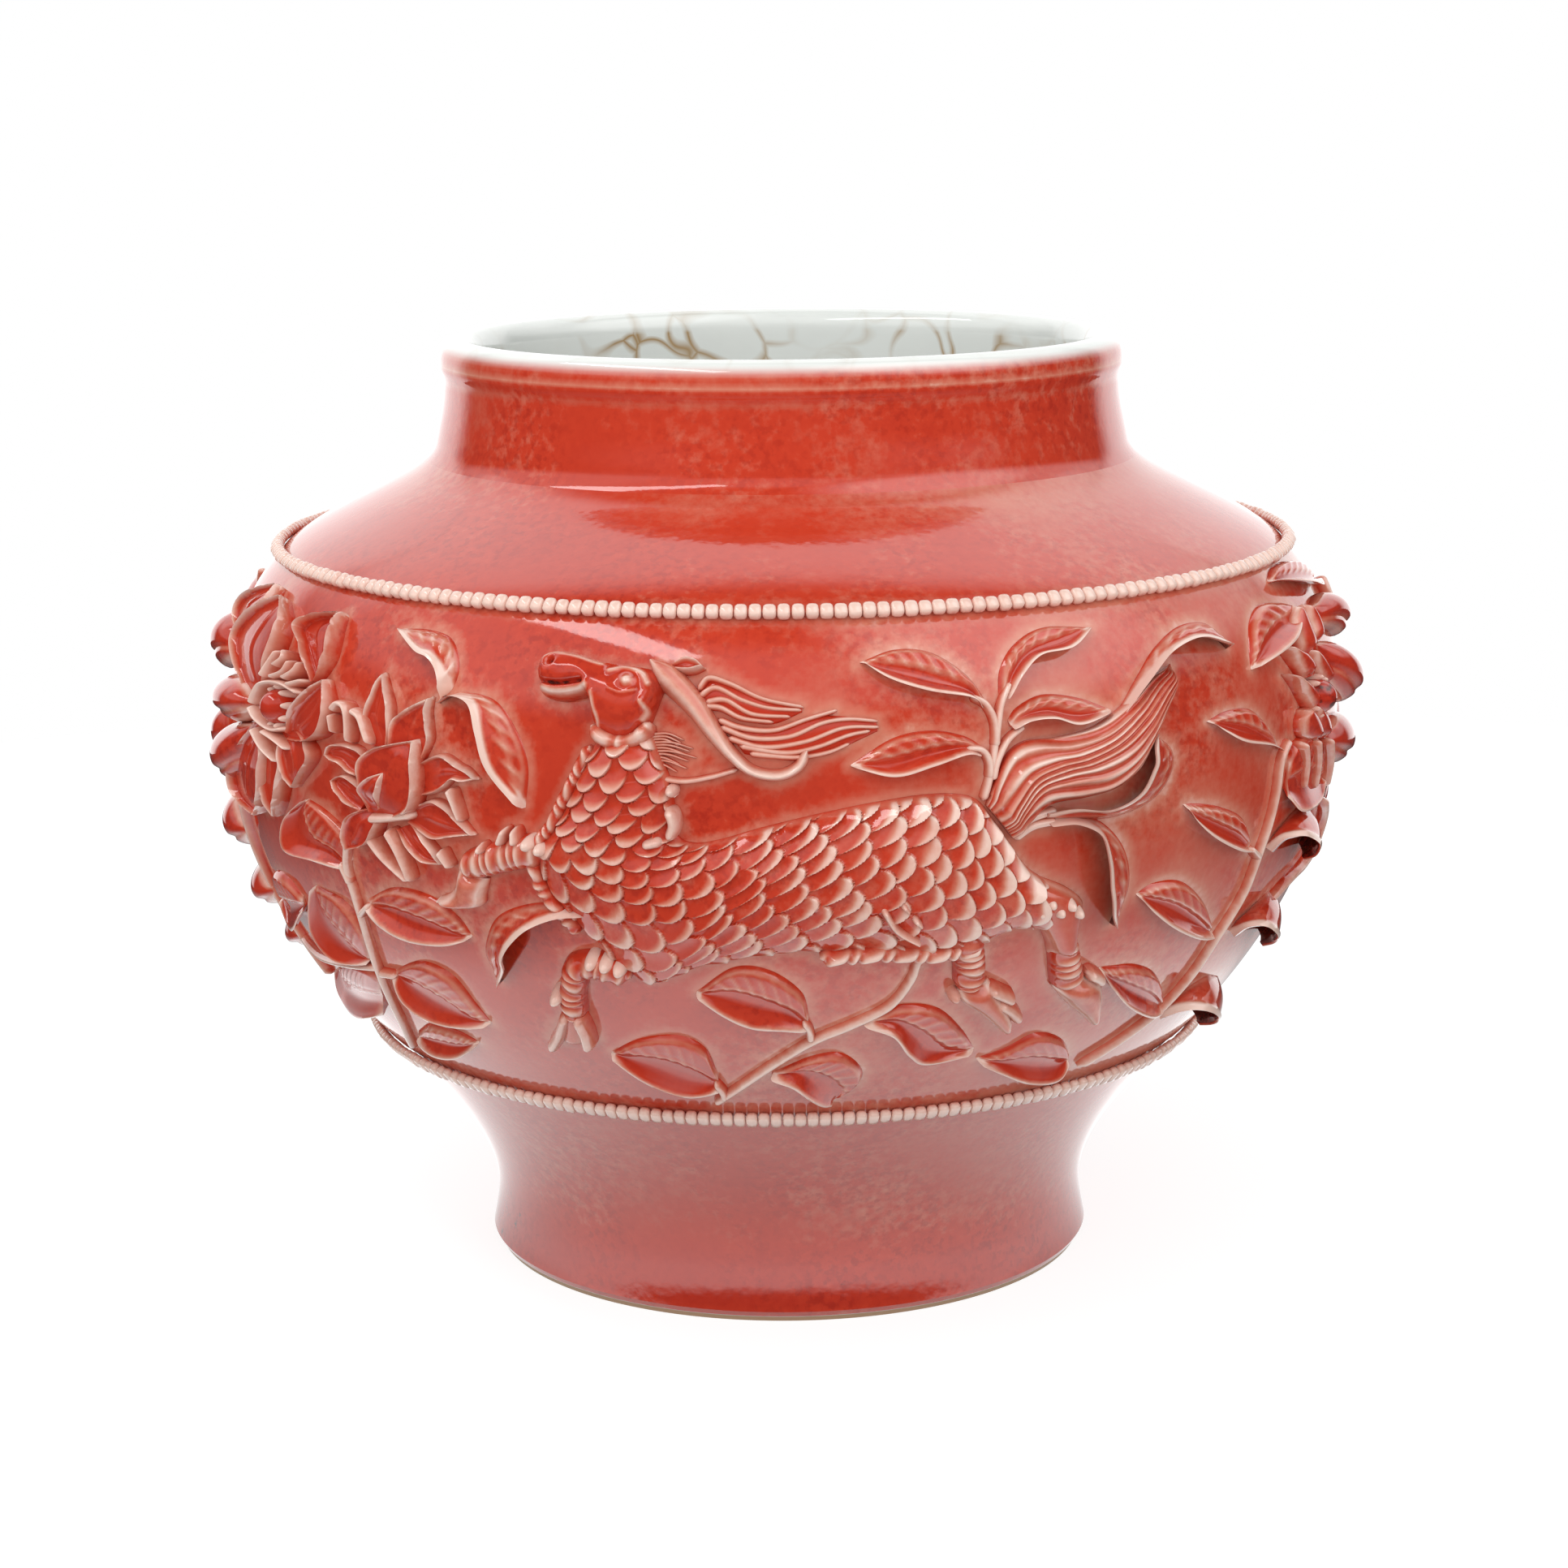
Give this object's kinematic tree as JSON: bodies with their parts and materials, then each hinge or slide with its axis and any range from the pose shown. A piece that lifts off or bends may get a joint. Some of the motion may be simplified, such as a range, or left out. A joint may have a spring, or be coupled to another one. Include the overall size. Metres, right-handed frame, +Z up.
{
  "type": "guan jar",
  "caption": "Wide-shouldered storage jar with a short neck and waisted foot, red glaze and an applied frieze of qilin, leaves and flowers between bead strings.",
  "frame": {"origin": "centre of the foot on the table", "axes": "+Z up the jar's axis, -Y towards the viewer of the front qilin, +X to the viewer's right"},
  "size_m": [0.3128, 0.3132, 0.25],
  "materials": {
    "red_glaze": "glossy orange-red glaze with darker specks, bluish white inside and on the lip",
    "bead_glaze": "glossy red glaze worn thin to pinkish white on each bead",
    "relief_glaze": "glossy red glaze, pooled deep red in hollows and broken to pinkish white on edges"
  },
  "bodies": {
    "root": {"foot_section": "red_glaze", "lower_belly": "red_glaze", "upper_belly": "red_glaze", "neck": "red_glaze", "upper_bead_string": "bead_glaze", "lower_bead_string": "bead_glaze", "front_qilin_body": "relief_glaze", "front_qilin_head": "relief_glaze", "front_qilin_horn": "relief_glaze", "front_qilin_mane": "relief_glaze", "front_qilin_tail": "relief_glaze", "front_near_foreleg": "relief_glaze", "front_far_foreleg": "relief_glaze", "front_near_hind_leg": "relief_glaze", "front_far_hind_leg": "relief_glaze", "front_rump_stem": "relief_glaze", "front_rump_leaves": "relief_glaze", "front_tail_curls": "relief_glaze", "front_chest_curl": "relief_glaze", "front_low_stem": "relief_glaze", "front_low_leaves": "relief_glaze", "front_left_stem": "relief_glaze", "front_left_leaves": "relief_glaze", "front_left_flower": "relief_glaze", "front_left_hook": "relief_glaze", "front_edge_flower": "relief_glaze", "front_edge_petals": "relief_glaze", "front_right_stem": "relief_glaze", "front_right_leaves": "relief_glaze", "front_right_curls": "relief_glaze", "front_right_flower": "relief_glaze", "front_flower_hearts": "relief_glaze", "back_qilin_body": "relief_glaze", "back_qilin_head": "relief_glaze", "back_qilin_horn": "relief_glaze", "back_qilin_mane": "relief_glaze", "back_qilin_tail": "relief_glaze", "back_near_foreleg": "relief_glaze", "back_far_foreleg": "relief_glaze", "back_near_hind_leg": "relief_glaze", "back_far_hind_leg": "relief_glaze", "back_rump_stem": "relief_glaze", "back_rump_leaves": "relief_glaze", "back_tail_curls": "relief_glaze", "back_chest_curl": "relief_glaze", "back_low_stem": "relief_glaze", "back_low_leaves": "relief_glaze", "back_left_stem": "relief_glaze", "back_left_leaves": "relief_glaze", "back_left_flower": "relief_glaze", "back_left_hook": "relief_glaze", "back_edge_flower": "relief_glaze", "back_edge_petals": "relief_glaze", "back_right_stem": "relief_glaze", "back_right_leaves": "relief_glaze", "back_right_curls": "relief_glaze", "back_right_flower": "relief_glaze", "back_flower_hearts": "relief_glaze"}
  },
  "joints": []
}
